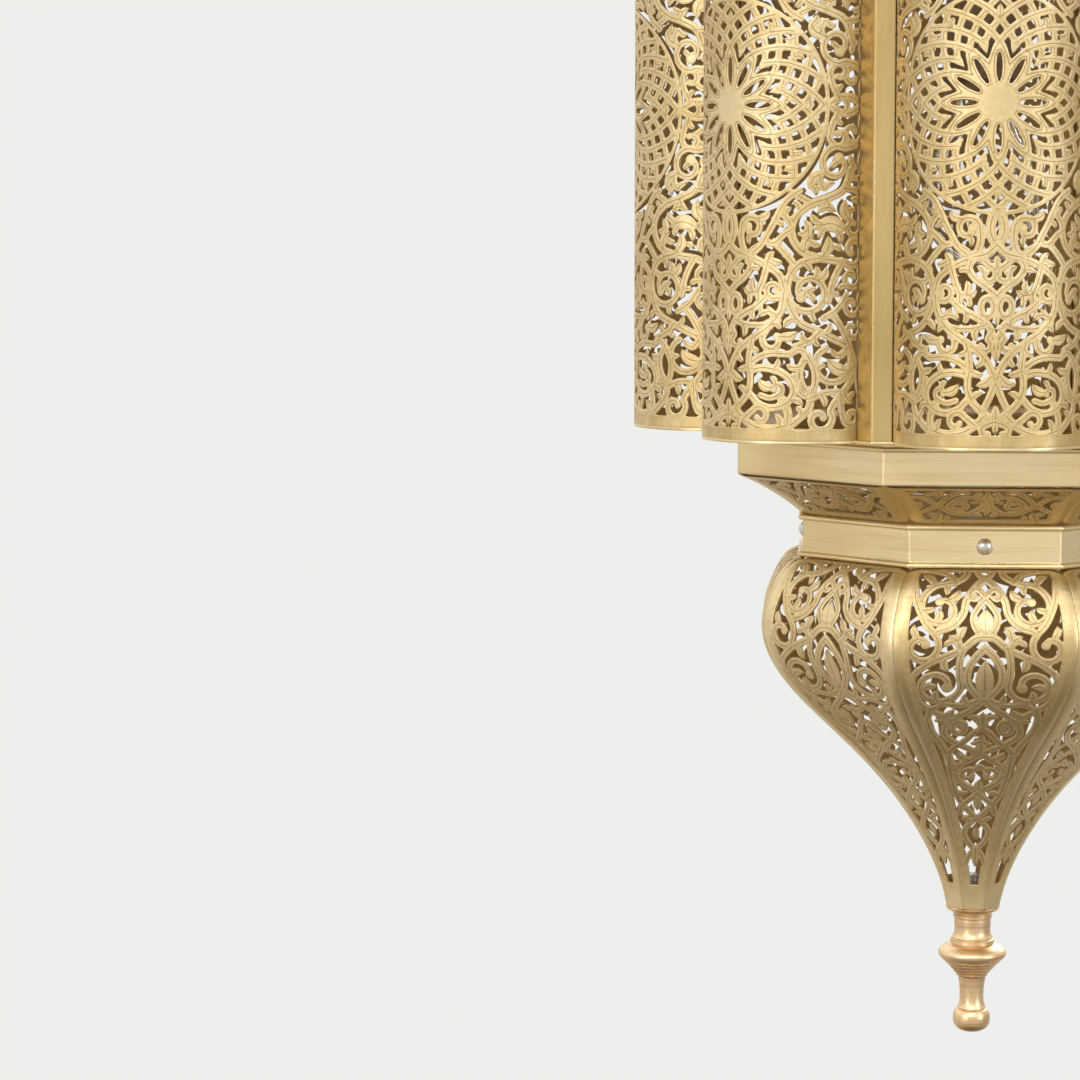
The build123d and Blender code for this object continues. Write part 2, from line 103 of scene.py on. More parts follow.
class Pattern:
    """The metal left in a flat sheet, on a grid of points in mm: u across, v along.

    edge: how far a point is outside the metal; own: how far inside the edge of the strip that lies on top;
    mid: signed distance from the line engraved along a strip's middle."""

    def __init__(self, across, along, weight):
        self.weight = weight  # thickens every vine
        self.u, self.v = np.meshgrid(across, along)
        self.edge = np.full(self.u.shape, FAR)
        self.own = np.zeros(self.u.shape)
        self.mid = np.full(self.u.shape, FAR)

    def add(self, edge, mid=None, window=(slice(None), slice(None))):
        """Lays a strip, leaf or disc over what is there."""
        self.edge[window] = np.minimum(self.edge[window], edge)
        on_top = edge < 0
        self.own[window][on_top] = -edge[on_top]
        self.mid[window][on_top] = FAR if mid is None else mid[on_top]

    def cut(self, edge):
        """Takes out what lies inside an outline."""
        self.edge = np.maximum(self.edge, -edge)
        self.own = np.where(edge > 0, np.minimum(self.own, edge), 0)

    def window(self, path, reach):
        """The part of the grid that a path can touch."""
        low = path.min(0) - reach
        high = path.max(0) + reach
        columns = np.nonzero((self.u[0] >= low[0]) & (self.u[0] <= high[0]))[0]
        rows = np.nonzero((self.v[:, 0] >= low[1]) & (self.v[:, 0] <= high[1]))[0]
        if not len(columns) or not len(rows):
            return None
        return slice(rows[0], rows[-1] + 1), slice(columns[0], columns[-1] + 1)

    def path(self, line, half):
        """Lays a strip along a line of points, with its half width at each."""
        window = self.window(line, max(half) + REACH)
        if window is None:
            return
        x = self.u[window]
        y = self.v[window]
        edge = np.full(x.shape, FAR)
        mid = np.full(x.shape, FAR)
        for a, b, wide_a, wide_b in zip(line[:-1], line[1:], half[:-1], half[1:]):
            run = b - a
            t = ((x - a[0]) * run[0] + (y - a[1]) * run[1]) / max(run @ run, 1e-9)
            t = np.clip(t, 0, 1)
            dx = x - a[0] - t * run[0]
            dy = y - a[1] - t * run[1]
            away = np.hypot(dx, dy)
            here = away - wide_a - (wide_b - wide_a) * t
            nearer = here < edge
            edge[nearer] = here[nearer]
            mid[nearer] = (np.sign(dx * run[1] - dy * run[0]) * away)[nearer]
        self.add(edge, mid, window)

    def vine(self, points, start=1.15, end=1.15, curl=None, bud=0.0):
        """A strip through points; curl = (centre, turn in degrees, end radius) winds its end around a bud."""
        points = list(points)
        if curl:
            centre, turn, end_radius = curl
            points += spiral_points(points[-1], np.array(centre, float), turn, end_radius)
        line = smooth_line(points)
        self.path(line, np.linspace(start, end, len(line)) * self.weight)
        if bud:
            self.disc(points[-1], bud)

    def leaf(self, base, tip, half, bend=0.0, base_half=0.7):
        """A leaf from base to tip, bulging to half, with an engraved vein; bend moves its middle sideways."""
        base = np.array(base, float)
        tip = np.array(tip, float)
        run = tip - base
        side = np.array([-run[1], run[0]]) * bend
        line = smooth_line([base, (base + tip) / 2 + side, tip], 8)
        t = np.linspace(0, 1, len(line))
        shape = np.sin(math.pi * t**0.8) * half
        self.path(line, np.maximum(shape, base_half * (1 - t) + 0.25))

    def disc(self, centre, radius):
        self.add(np.hypot(self.u - centre[0], self.v - centre[1]) - radius)

    def ring(self, centre, radii, half):
        """A closed oval strip."""
        turn = np.linspace(0, 2 * math.pi, 25)
        line = np.stack([centre[0] + radii[0] * np.cos(turn), centre[1] + radii[1] * np.sin(turn)], 1)
        self.path(line, np.full(len(line), half * self.weight))

    def at(self, place):
        """The grid point nearest to a place."""
        across = self.u[0]
        along = self.v[:, 0]
        column = round((place[0] - across[0]) / (across[1] - across[0]))
        row = round((place[1] - along[0]) / (along[1] - along[0]))
        return min(max(row, 0), len(along) - 1), min(max(column, 0), len(across) - 1)

    def fill(self, room, most=400):
        """Grows a leaf into every opening that is wider than room to each side, from the metal next to it."""
        turns = np.linspace(0, 2 * math.pi, 24, endpoint=False)
        ways = np.stack([np.cos(turns), np.sin(turns)], 1)
        for count in range(most):
            spot = np.unravel_index(np.argmax(self.edge), self.edge.shape)
            gap = min(self.edge[spot], REACH)
            if gap < room:
                break
            middle = np.array([self.u[spot], self.v[spot]])
            on_axis = middle[0] < 0.7 * gap
            if on_axis:
                middle[0] = 0
            choice = ways[[6, 18]] if on_axis else ways
            depth = [self.edge[self.at(middle + way * (gap + 1.0))] for way in choice]
            way = choice[int(np.argmin(depth))]
            bend = 0.0 if on_axis else (0.16, -0.16)[count % 2]
            self.leaf(middle + way * (gap + 0.9), middle - way * gap * 0.7, gap * 0.36 + 0.7, bend)

    def border(self, inside):
        """Solid metal where inside, a distance into the pierced field, is negative."""
        self.edge = np.minimum(self.edge, inside)
        plain = inside < 0
        self.own[plain] = -inside[plain]
        self.mid[plain] = FAR

    def outline(self, outside):
        """Trims the sheet to its outline."""
        self.edge = np.maximum(self.edge, outside)


# ---------------------------------------------------------------- the lobes' pattern

ROSETTE_PETAL = 28.3  # radius of the petals' tips
ROSETTE_PITCH = 5.3  # radius from one row of crossings to the next
ROSETTE_HALF = 1.65  # half width of the lattice's strips
ROSETTE_R = 51.4
ROSETTE_RIM_HALF = 1.0
FLOWER_R = 27.4
FLOWER_OVERLAP = 1.0  # of the lattice's strips under the flower
CENTRE_R = 8.7  # plain disc
PITCH_TURN = math.radians(7.5)  # turn of a strip from one row of crossings to the next
PETAL_TURN = math.radians(30)  # from one petal to the next
SLIT = (9.9, 23.6, 1.5)  # start, end and half width of the opening on each petal
SLIT_LINE = 0.95  # from a slit to the line engraved round it
CHEVRON_APEX = 21.6  # radius where the two arms of a chevron meet, and where they end
CHEVRON_END = 28.6
CHEVRON_HALF = (0.65, 1.15)  # half width of an arm at its apex and at its end


def rosette(p):
    """Round lattice of curved strips in a thin rim, round a flower of 12 petals, all centred on (0, 0)."""
    r = np.hypot(p.u, p.v)
    turn = np.arctan2(p.u, p.v)
    lean = np.cos(np.arctan(r * PITCH_TURN / ROSETTE_PITCH))
    reach = np.maximum(r - ROSETTE_R, FLOWER_R - FLOWER_OVERLAP - r)
    for way in (-1, 1):
        line = way * PITCH_TURN * (r - ROSETTE_PETAL) / ROSETTE_PITCH
        off = (turn - line + PETAL_TURN / 4) % (PETAL_TURN / 2) - PETAL_TURN / 4
        mid = r * off * lean
        p.add(np.maximum(np.abs(mid) - ROSETTE_HALF, reach), mid)
    p.add(np.abs(r - ROSETTE_R) - ROSETTE_RIM_HALF)
    flower(p, r, turn, lean)


def flower(p, r, turn, lean):
    """The rosette's middle: petals with a lens-shaped slit each and chevron openings between them."""
    p.add(r - FLOWER_R)
    fold = np.abs((turn + PETAL_TURN / 2) % PETAL_TURN - PETAL_TURN / 2)
    half_petal = PITCH_TURN * (ROSETTE_PETAL - r) / ROSETTE_PITCH
    petal_edge = (fold - half_petal) * r * lean
    inside = (r < FLOWER_R) & (r > CENTRE_R)
    start, end, half = SLIT
    along = r * np.cos(fold)
    shape = np.clip(1 - ((2 * along - start - end) / (end - start)) ** 2, 0, 1)
    slit = np.hypot(along - np.clip(along, start, end), r * np.sin(fold)) - half * np.sqrt(shape)
    p.cut(slit)
    p.mid = np.where(inside, np.maximum(petal_edge, SLIT_LINE - slit), p.mid)
    between = PETAL_TURN / 2 - fold
    x = r * np.sin(between)
    y = r * np.cos(between) - CHEVRON_APEX
    run_x = CHEVRON_END * math.sin(PITCH_TURN)
    run_y = CHEVRON_END * math.cos(PITCH_TURN) - CHEVRON_APEX
    t = np.clip((x * run_x + y * run_y) / (run_x**2 + run_y**2), 0, 1)
    apex_half, end_half = CHEVRON_HALF
    p.cut(np.hypot(x - t * run_x, y - t * run_y) - apex_half - (end_half - apex_half) * t)


def lobe_middle(p):
    """Arabesque on the lobe's axis, below the rosette: v is down from the rosette's centre."""
    knot = (10.3, 72)
    p.vine([(19, 66.5), (14.5, 69), (11, 72)], 0.9, 0.9)
    p.vine([(30, 142), (33, 149), (30.5, 157)], 1.6, 1.2)
    p.leaf((0, 111.5), (0, 122), 2.2)
    p.vine([knot, (15, 70.5), (19.4, 66.5), (22, 62), (25, 57), (28.3, 50.5), (32, 45), (38, 41)], 1.2, 1.1)
    p.vine([knot, (16, 74), (22, 77), (28.5, 82), (30.4, 88)], 1.25, 0.9, ((25.4, 88.6), 400, 1.7), 1.6)
    p.vine([knot, (7.9, 65.5), (8.0, 59)], 1.3, 1.0, ((14, 58.8), 370, 2.2), 2.3)
    p.vine([(18.5, 97), (17.6, 90), (20, 84), (22, 77)], 1.1, 1.2)
    p.vine([knot, (6.6, 73.4), (3.6, 76.2)], 1.2, 0.9, ((4.2, 80.6), -330, 1.3), 1.3)
    p.vine([knot, (13.2, 77), (10.4, 82), (4.6, 86.3), (0, 90.3)], 1.2, 1.2)
    p.ring((4.3, 95.6), (3.1, 4.5), 1.1)
    p.vine([(0, 50.2), (2.2, 53.5), (3.2, 58.3), (2.4, 62.8), (0, 66.8)], 1.6, 1.6)
    p.vine([(0, 66.4), (4.5, 70.4), knot], 1.4, 1.4)
    p.vine([(20.5, 93), (15.8, 97), (10, 100), (4.6, 103.4), (1.9, 108), (0.6, 115)], 1.3, 1.2)
    p.vine([(28, 103.4), (18, 105.8), (9, 105.2), (4.4, 103.4)], 1.0, 1.0)
    p.vine([(2.2, 107.5), (4.0, 110.6)], 1.0, 0.8, ((5.6, 113.8), -250, 1.6), 1.5)
    p.vine([(24.8, 103.5), (20.6, 110)], 1.3, 1.0, ((24.6, 113), -250, 3.2), 2.0)
    p.vine([(30.6, 90), (29, 99), (23, 106.4), (14.7, 112), (7.8, 117), (3.3, 122.8), (0.8, 129), (0, 133)],
           1.3, 1.25)
    p.vine([(0, 131), (2.8, 138), (6.4, 145.4)], 1.2, 1.1)
    p.vine([(14.5, 127.5), (20.5, 126.4), (28.3, 128), (33.8, 132.2), (35.6, 138), (32.2, 143.4), (25, 145.8),
            (18.2, 144), (13.6, 139.6)], 1.3, 1.2)
    p.vine([(19, 139.8), (24, 141), (29, 139)], 1.0, 0.8, ((27.4, 136.6), -250, 1.6), 1.5)
    p.vine([(12.4, 125.8), (17.4, 121.6), (24.5, 119.4), (33.5, 119.8)], 1.2, 1.1)
    p.vine([(0, 149.8), (5.5, 145.6), (10.6, 140.8), (13, 135.7), (13.3, 130.2), (12.4, 125.8), (12.8, 119),
            (14.4, 112)], 1.3, 1.1)
    p.vine([(31, 154.6), (24, 156), (16, 155), (9.5, 151.4), (5, 146.8)], 1.5, 1.3)
    p.vine([(10, 151), (14.6, 147.4)], 1.2, 1.0, ((18.8, 149.6), 300, 2.0), 1.7)
    p.vine([(0, 149.4), (4.6, 151.2)], 1.2, 0.9, ((4.2, 154.0), 200, 1.5), 1.6)


def lobe_side(p):
    """Arabesque between the rosette, the axis group and the lobe's straight edges."""
    p.vine([(70.6, 14), (70.2, 60), (70.8, 110), (70.4, 158)], 1.2, 1.2)
    p.vine([(34, 42), (41, 45.6), (44.5, 48)], 1.1, 1.1)
    p.vine([(52.2, 0), (57, 3.2), (63, 3.9), (70, 0.5)], 1.3, 1.3)
    p.vine([(71, 2), (69.8, 9)], 1.2, 0.9, ((64.6, 13.2), 380, 1.7), 1.6)
    p.vine([(57, 3.4), (54, 9), (52.6, 15)], 1.1, 1.0, ((57.4, 15.6), -300, 2.2), 1.7)
    p.vine([(71, 14), (67.5, 18.6), (61, 20.6)], 1.2, 1.0, ((56.2, 28.4), -370, 3.0), 2.8)
    p.vine([(71, 22), (69.4, 27)], 1.1, 0.9, ((66.4, 31.5), 330, 1.6), 1.4)
    p.vine([(64.4, 30.5), (60.2, 40.2), (52, 44.6), (43, 47.8), (35.8, 54), (34, 62), (39, 70), (48, 73.4),
            (60, 75.4)], 1.35, 1.2, ((65.6, 69.6), -370, 1.9), 1.8)
    p.vine([(71, 44), (67, 41), (60.4, 40)], 1.1, 1.1)
    p.vine([(71, 50), (69.8, 55)], 1.1, 0.9, ((65.4, 58.4), 330, 1.7), 1.5)
    p.vine([(28.5, 51), (33, 56), (34, 62)], 1.1, 1.1)
    p.vine([(26, 66), (31, 71), (35, 76)], 1.2, 1.1, ((39, 79), -120, 5.0))
    p.vine([(22.5, 66), (26, 66), (30.4, 62), (33.6, 60)], 1.1, 1.1)
    p.vine([(48, 73.4), (39, 75.6), (33.6, 81.5), (32, 89)], 1.3, 1.0, ((42.6, 89.8), -400, 4.6), 2.4)
    p.vine([(52.4, 94), (55, 84), (59.6, 75.4)], 1.2, 1.2)
    p.vine([(71, 76), (69.6, 80)], 1.1, 0.9, ((64.6, 83.0), 370, 1.7), 1.6)
    p.vine([(71, 90), (69.6, 93)], 1.1, 0.9, ((64.8, 96.4), 370, 1.7), 1.6)
    p.vine([(71, 103), (69.8, 105)], 1.1, 0.9, ((65.4, 108), 330, 1.6), 1.4)
    p.vine([(32, 89), (33.4, 97), (38.6, 104.6), (48, 109), (56, 112.8)], 1.3, 1.1, ((54.4, 124), 330, 7.6))
    p.vine([(54, 100.5), (58, 105), (62, 112), (65.4, 120)], 1.2, 1.1)
    p.vine([(50, 102.4), (57, 98), (62, 91)], 1.1, 1.0)
    p.vine([(36, 116), (43, 113.6), (48, 109)], 1.1, 1.1)
    p.vine([(33.5, 119.8), (38.4, 117.4), (42, 120.6)], 1.2, 1.1)
    p.vine([(42, 120), (38.6, 127), (39.4, 134), (43.8, 140)], 1.2, 1.2)
    p.vine([(42, 120), (45.6, 127), (46, 134), (43.8, 140)], 1.2, 1.2)
    p.vine([(43.8, 139.4), (43, 146), (37, 152), (31, 156.4)], 1.3, 1.3)
    p.vine([(36, 130), (38.5, 138), (43.6, 141)], 1.1, 1.1)
    p.vine([(44, 141), (51, 138.4), (58, 138)], 1.2, 1.1)
    p.vine([(65.4, 120), (66.6, 129), (62, 136.6), (57.6, 141.4), (54, 147)], 1.3, 1.1,
           ((48.4, 151.2), 380, 2.0), 1.8)
    p.vine([(59.4, 139), (59.6, 146), (60.8, 151)], 1.2, 1.0, ((65.4, 150.6), -380, 1.8), 1.8)
    p.vine([(70.8, 121), (68.4, 129), (70, 139)], 1.1, 1.1)


LOBE_WEIGHT = 1.5
LOBE_ROOM = 2.0  # openings narrower than twice this get no leaf
LOBE_BORDER = 2.6  # plain metal before the lobe's straight edges begin
LOBE_RIM = 5.8  # plain rim at each end of a lobe


def lobe_pattern(across, along, half_girth, half_height, half_round):
    """One quarter of a lobe's sheet, u and v from its middle."""
    p = Pattern(across, along, LOBE_WEIGHT)
    lobe_side(p)
    lobe_middle(p)
    rosette(p)
    side = half_round - LOBE_BORDER - p.u
    rim = half_height - LOBE_RIM - p.v
    p.border(np.minimum(side, rim))
    p.fill(LOBE_ROOM)
    p.outline(np.maximum(p.u - half_girth, p.v - half_height))
    return p


# ---------------------------------------------------------------- the gores' pattern

GORE_WEIGHT = 1.55
GORE_ROOM = 2.5
GORE_WINDOW_START = 3.5  # from the gore's upper edge to the pierced field
GORE_WINDOW_END = 202.0
GORE_SLOT = (202.4, 213.6)  # start and end of the small slot below the pierced field
GORE_SLOT_HALF = (3.2, 2.0)  # its half width at the field's end and at its own
GORE_BORDERS = ((0, 7.6), (80, 8.2), (117, 7.0), (174, 5.4), (230, 3.5))  # place along, plain width


def gore_upper(p):
    """Scrolls on the gore's bulge: u from its middle line, v down from its upper edge."""
    p.vine([(8.5, 3), (9.5, 8), (15, 12), (24, 14), (29.6, 19)], 1.2, 1.0, ((21.4, 26), 330, 3.4), 2.2)
    p.vine([(33, 3), (25, 4), (18, 7), (14, 12)], 1.1, 1.1)
    p.vine([(36, 3.5), (34.6, 12), (34, 22), (30, 33), (25.6, 38.6)], 1.2, 1.1,
           ((31.8, 45.8), -380, 2.6), 2.2)
    p.vine([(0, 9.5), (5, 15), (9.4, 22), (11, 29), (16, 35), (24, 38)], 1.3, 1.1)
    p.ring((0, 4.4), (3.6, 4.2), 1.0)
    p.leaf((0, 41), (0, 26), 4.4)
    p.vine([(0, 41), (4.6, 36.8), (6.2, 31), (3.6, 25.6), (0, 21.4)], 1.0, 1.0)
    p.vine([(0, 20), (3.2, 16.4)], 1.0, 0.8, ((5.0, 19.4), 260, 1.6), 1.3)
    p.vine([(0, 40.4), (5, 41.4), (11, 46.4), (18.4, 50), (27, 54), (35, 61), (37, 70)], 1.35, 1.1)
    p.vine([(11, 46.4), (12.6, 54), (12.4, 62)], 1.2, 1.1, ((23.4, 67.4), -400, 5.0), 2.8)
    p.vine([(0, 46), (4.4, 50.5), (8.0, 57), (8.4, 65), (4.6, 72), (0, 77.5)], 1.3, 1.2)
    p.leaf((0, 73), (0, 52), 4.6)
    p.vine([(36.5, 62), (35, 72), (31, 80), (24, 86), (16, 92), (9, 99.5)], 1.3, 1.1)
    p.vine([(2, 76), (10, 80.4), (20, 80), (26, 84)], 1.1, 1.0)


def gore_lower(p):
    """Narrowing lower part of the gore's field."""
    p.leaf((0, 98), (0, 86), 3.2)
    p.leaf((0, 124), (0, 110), 3.4)
    p.leaf((0, 152), (0, 142), 2.6)
    p.leaf((0, 184), (0, 176), 1.8)
    p.vine([(0, 76.5), (5.4, 83), (12.4, 89), (18, 96), (18.6, 104), (13, 111), (6, 116), (0, 121)],
           1.25, 1.15)
    p.ring((11.6, 98), (3.2, 5.2), 1.0)
    p.vine([(26, 83), (27.4, 92), (25, 102), (20, 112), (16.5, 122), (12, 131)], 1.2, 1.1)
    p.vine([(0, 98.4), (4.4, 103), (8.4, 109.5), (14.4, 116), (16.6, 124)], 1.15, 1.0)
    p.vine([(0, 119), (4.6, 124.6), (9.4, 129), (12.6, 135.6), (9.4, 143), (4, 148), (0, 152.4)], 1.2, 1.1)
    p.vine([(0, 130), (2.6, 133)], 1.0, 0.9, ((5.2, 137.4), 300, 1.8), 1.4)
    p.vine([(15.6, 122), (14.8, 133), (13.2, 144), (10.6, 154), (6, 163), (0, 171)], 1.15, 1.0)
    p.vine([(0, 151.6), (3.6, 156), (7.6, 161), (9, 167)], 1.1, 1.0)
    p.vine([(0, 170), (3.4, 174), (6.4, 180), (4, 187), (0, 192)], 1.1, 1.0)
    p.vine([(0, 191), (3, 195), (5, 201)], 1.0, 0.9)
    p.leaf((0, 191), (0, 203), 2.0)


def gore_pattern(across, along, half_width):
    """Half of a gore's sheet; half_width(v) is the gore's own half width at a place along it."""
    p = Pattern(across, along, GORE_WEIGHT)
    gore_upper(p)
    gore_lower(p)
    plain = np.interp(p.v, *np.array(GORE_BORDERS).T)
    side = half_width(p.v) - plain - p.u
    field = np.minimum(side, np.minimum(p.v - GORE_WINDOW_START, GORE_WINDOW_END - p.v))
    start, end = GORE_SLOT
    slot_half = np.interp(p.v, (GORE_WINDOW_END, end), GORE_SLOT_HALF)
    slot = np.maximum(p.u - slot_half, np.maximum(start - p.v, p.v - end))
    p.border(field)
    p.fill(GORE_ROOM)
    p.cut(slot)
    return p


# ---------------------------------------------------------------- the slope rings' pattern

SLOPE_WEIGHT = 1.5
SLOPE_ROOM = 1.9
SLOPE_RIB = 9.0  # plain metal at each corner
SLOPE_EDGE = 4.0  # plain metal along the upper and lower edges


def slope_pattern(across, along, half_width, length):
    """Half of one side of a slope ring: u from its middle, v from the outer edge to the inner."""
    p = Pattern(across, along, SLOPE_WEIGHT)
    middle = length / 2
    p.leaf((0, middle - 13), (0, middle + 13), 3.6)
    p.vine([(0, middle), (6, middle - 7), (13, middle - 6), (18, middle + 1)],
           1.3, 1.0, ((13, middle + 2), 300, 2.0), 1.7)
    p.vine([(0, middle), (7, middle + 9), (16, middle + 9), (24, middle + 2), (31, middle - 6),
            (38, middle - 7)], 1.3, 1.0, ((36, middle + 1), 300, 2.0), 1.8)
    p.vine([(12, middle - 15), (18, middle - 9), (24, middle + 2)], 1.2, 1.1)
    p.vine([(24, middle + 2), (33, middle + 9), (46, middle + 10)], 1.2, 1.0)
    side = half_width(p.v) - SLOPE_RIB - p.u
    field = np.minimum(side, np.minimum(p.v - SLOPE_EDGE, length - SLOPE_EDGE - p.v))
    p.border(field)
    p.fill(SLOPE_ROOM)
    return p


# ---------------------------------------------------------------- meshes

# Polygons of one grid cell by which of its corners are metal (bits 1, 2, 4, 8): c corners and e edge
# crossings, turning the same way round, from the corner at the grid's start.
CELL_POLYGONS = {
    1: ["c0 e0 e3"], 2: ["c1 e1 e0"], 3: ["c0 c1 e1 e3"], 4: ["c2 e2 e1"],
    5: ["c0 e0 e3", "c2 e2 e1"], 6: ["c1 c2 e2 e0"], 7: ["c0 c1 c2 e2 e3"], 8: ["c3 e3 e2"],
    9: ["c0 e0 e2 c3"], 10: ["c1 e1 e0", "c3 e3 e2"], 11: ["c0 c1 e1 e2 c3"], 12: ["c2 c3 e3 e1"],
    13: ["c0 e0 e1 c2 c3"], 14: ["c1 c2 c3 e3 e0"], 15: ["c0 c1 c2 c3"],
}
THICK = 1.0  # the pierced sheets, mm
RELIEF = 0.08  # how far an edge lies below the face
RELIEF_RUN = 0.5  # how far from an edge the face reaches its full height


def crossing(here, there):
    """Where between two grid points the metal's edge lies, kept off the points themselves."""
    return np.clip(here / (here - there), 0.1, 0.9)


def sheet_points(p):
    """Flat vertices of the metal and the polygons between them, from the pattern's grid."""
    metal = p.edge < 0
    rows, columns = metal.shape
    corner_id = np.full(metal.shape, -1)
    corner_id[metal] = np.arange(metal.sum())
    flat = [p.u[metal], p.v[metal], p.own[metal], p.mid[metal]]
    total = int(metal.sum())
    ids = {}
    neighbours = {"across": (np.s_[:, :-1], np.s_[:, 1:]), "along": (np.s_[:-1, :], np.s_[1:, :])}
    for name, (first, second) in neighbours.items():
        cut = metal[first] != metal[second]
        t = crossing(p.edge[first], p.edge[second])[cut]
        number = np.full(cut.shape, -1)
        number[cut] = total + np.arange(cut.sum())
        total += int(cut.sum())
        ids[name] = number
        inner_mid = np.where(metal[first], p.mid[first], p.mid[second])[cut]
        for k, values in enumerate((p.u, p.v)):
            a = values[first][cut]
            b = values[second][cut]
            flat[k] = np.concatenate([flat[k], a + (b - a) * t])
        flat[2] = np.concatenate([flat[2], np.zeros(len(t))])
        flat[3] = np.concatenate([flat[3], inner_mid])
    corners = (np.s_[:-1, :-1], np.s_[:-1, 1:], np.s_[1:, 1:], np.s_[1:, :-1])
    points = {
        "e0": ids["across"][:-1, :], "e1": ids["along"][:, 1:],
        "e2": ids["across"][1:, :], "e3": ids["along"][:, :-1],
    }
    code = np.zeros(corner_id[corners[0]].shape, int)
    for k, part in enumerate(corners):
        points[f"c{k}"] = corner_id[part]
        code += 2**k * metal[part]
    faces = []
    walls = []
    for case, polygons in CELL_POLYGONS.items():
        cells = code == case
        if not cells.any():
            continue
        for polygon in polygons:
            names = polygon.split()
            faces.append(np.stack([points[name][cells] for name in names], 1))
            for a, b in zip(names, names[1:] + names[:1]):
                if a[0] == b[0] == "e":
                    walls.append(np.stack([points[a][cells], points[b][cells]], 1))
    return flat, faces, np.concatenate(walls)


def sheet_mesh(name, p, place):
    """Mesh of a pierced sheet; place(u, v, depth) puts flat points in space, in mm, depth under the face."""
    (u, v, own, mid), faces, walls = sheet_points(p)
    drop = RELIEF * (1 - np.clip(own / RELIEF_RUN, 0, 1))
    count = len(u)
    co = np.concatenate([place(u, v, drop), place(u, v, np.full(count, THICK))]) * MM
    polygons = faces + [face[:, ::-1] + count for face in faces]
    a, b = walls.T
    polygons.append(np.stack([b, a, a + count, b + count], 1))
    mesh = bpy.data.meshes.new(name)
    mesh.vertices.add(len(co))
    mesh.vertices.foreach_set("co", co.astype(np.float32).ravel())
    sizes = np.concatenate([np.full(len(x), x.shape[1]) for x in polygons])
    loops = np.concatenate([x.ravel() for x in polygons])
    mesh.loops.add(len(loops))
    mesh.loops.foreach_set("vertex_index", loops.astype(np.int32))
    mesh.polygons.add(len(sizes))
    mesh.polygons.foreach_set("loop_start", np.concatenate([[0], np.cumsum(sizes)[:-1]]).astype(np.int32))
    mesh.polygons.foreach_set("use_smooth", np.ones(len(sizes), bool))
    for label, values, back in (("own", own, -1.0), ("mid", np.clip(mid, -9, 9), 9.0)):
        attribute = mesh.attributes.new(label, "FLOAT", "POINT")
        attribute.data.foreach_set("value", np.concatenate([values, np.full(count, back)]).astype(np.float32))
    mesh.update(calc_edges=True)
    mesh.validate()
    mesh.set_sharp_from_angle(angle=math.radians(50))
    return mesh


def unfold(p, across=False, along=False):
    """Mirrors a pattern worked out for u >= 0 (and v >= 0) to both sides."""
    for name in ("u", "v", "edge", "own", "mid"):
        grid = getattr(p, name)
        if across:
            flip = -grid if name == "u" else grid
            grid = np.concatenate([flip[:, :0:-1], grid], 1)
        if along:
            flip = -grid if name == "v" else grid
            grid = np.concatenate([flip[:0:-1], grid], 0)
        setattr(p, name, grid)
    return p


def facet_turn(facet):
    """Rotation for facet 1 to 8 of a piece made facing +X; facet 1 faces -Y."""
    return Matrix.Rotation(-math.pi / 2 + STEP * (facet - 1), 4, "Z")


def node_points(node):
    """A CAD node's vertices in mm."""
    mesh = frame["nodes"][node].data
    co = np.zeros(len(mesh.vertices) * 3, np.float32)
    mesh.vertices.foreach_get("co", co)
    return co.reshape(-1, 3) / MM


def outer_profile(node, down):
    """Outer line of a sheet that faces +X, from its edge nearest the body: distance along, x and z in mm.

    It is read off the CAD node's outward faces. down is -1 for the lower pieces and 1 for the upper ones."""
    mesh = frame["nodes"][node].data
    co = node_points(node)
    seen = {}
    for face in mesh.polygons:
        normal = face.normal
        edge_face = node.endswith("slope_ring") and normal.z * down < 0
        if normal.x > 0.04 and abs(normal.y) < 0.1 and not edge_face:
            for index in face.vertices:
                x, y, z = co[index]
                if abs(abs(y) - x * math.tan(STEP / 2)) < 0.6:
                    seen[round(float(z), 1)] = float(x)
    z = np.array(sorted(seen, reverse=down < 0))
    x = np.array([seen[height] for height in z])
    along = np.concatenate([[0], np.cumsum(np.hypot(np.diff(x), np.diff(z)))])
    return along, x, z


class Gore:
    """A sheet with a facet's width, curved along its length: where its flat points lie in space."""

    def __init__(self, node, down):
        self.down = down
        self.along, self.x, self.z = outer_profile(node, down)
        self.length = self.along[-1]
        run = np.gradient(self.x, self.along), np.gradient(self.z, self.along)
        size = np.hypot(*run)
        self.out = down * run[1] / size, -down * run[0] / size

    def half_width(self, v):
        return np.interp(v, self.along, self.x) * math.tan(STEP / 2) - GORE_GAP

    def bend(self, u, v):
        """How far the sheet curls in towards its neighbour along its long edges, which rounds the ridge."""
        half = self.half_width(v)
        run = np.minimum(RIDGE_RUN, 0.35 * half)
        radius = run / math.tan(STEP / 2)
        into = np.clip(run - half + np.abs(u), 0, run) * math.cos(STEP / 2)
        return radius - np.sqrt(radius**2 - into**2)

    def place(self, u, v, depth):
        depth = depth + self.bend(u, v)
        x = np.interp(v, self.along, self.x)
        z = np.interp(v, self.along, self.z)
        inner_x = x - depth * np.interp(v, self.along, self.out[0])
        inner_z = z - depth * np.interp(v, self.along, self.out[1])
        return np.stack([inner_x, self.down * u * inner_x / x, inner_z], 1)


GORE_GAP = 0.06  # half the gap between neighbours
RIDGE_RUN = 7.0  # from a ridge to where its rounding starts
CAGE_LENGTH = 228.0  # the length that the gore pattern is drawn for
CELL = {"lobe": 0.85, "cage": 0.65, "dome": 0.75, "slope": 0.9}  # grid steps, mm


def reach(length, cell):
    """Grid places from 0 to just past a length."""
    return np.arange(0, length + 2 * cell, cell)


